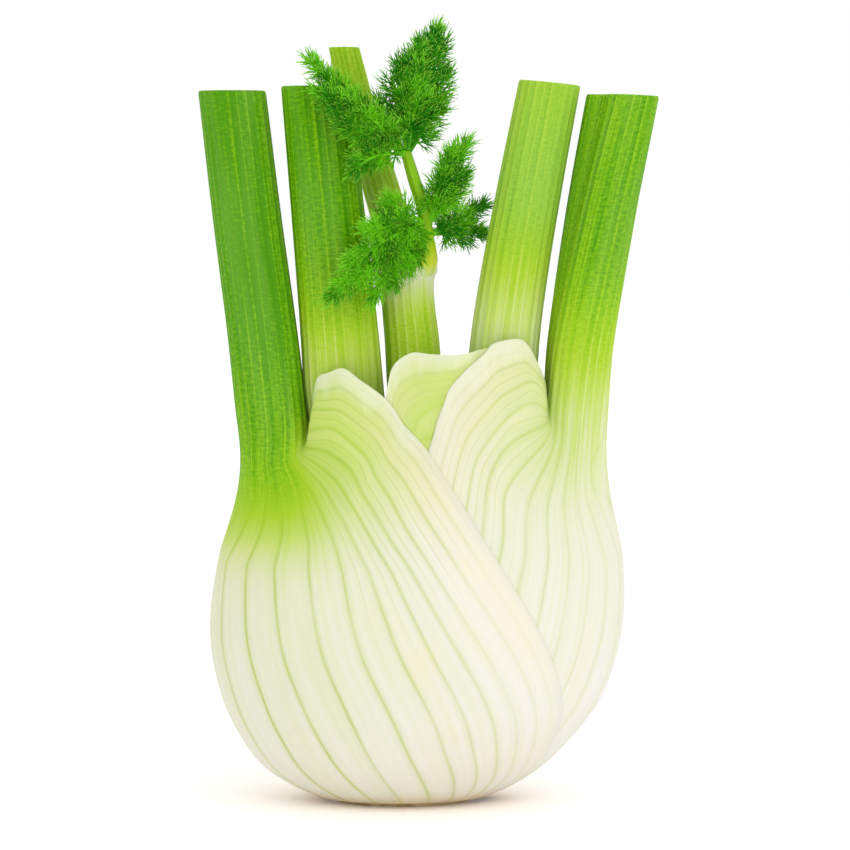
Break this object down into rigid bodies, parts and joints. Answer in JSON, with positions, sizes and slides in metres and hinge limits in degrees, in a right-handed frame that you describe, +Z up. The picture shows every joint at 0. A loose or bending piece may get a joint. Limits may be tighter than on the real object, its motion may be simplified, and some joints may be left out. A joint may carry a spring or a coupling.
{
  "type": "fennel bulb",
  "caption": "Fennel bulb standing on its trimmed base, with fleshy overlapping leaf bases, cut ribbed stalks and a feathery young leaf.",
  "frame": {"origin": "centre of the flat trimmed face under the root plate, on the surface the bulb stands on", "axes": "+Z up along the bulb, -Z out of the trimmed base; X runs left to right across the row of stalks; the broad front faces -Y, and Y is the thin way through"},
  "size_m": [0.1094, 0.0722, 0.1889],
  "materials": {
    "root": "dry, fibrous cut of the stem, dull and a little brown",
    "outer_leaf": "waxy, moist leaf flesh, ivory white with green veins, turning green up the stalk",
    "inner_leaf": "waxy, moist leaf flesh, pale green to full green, with fine ribs",
    "stem": "smooth, waxy, yellowish green",
    "feather": "soft, fine, deep green threads"
  },
  "bodies": {
    "root": {"root_plate": "root", "leaf_left_outer": "outer_leaf", "leaf_right_outer": "outer_leaf", "leaf_left_inner": "inner_leaf", "leaf_right_inner": "inner_leaf", "leaf_centre": "inner_leaf", "young_leaf_stem": "stem", "frond_crown": "feather", "frond_left_high": "feather", "frond_left_low": "feather", "frond_right_high": "feather", "frond_right_low": "feather"}
  },
  "joints": []
}
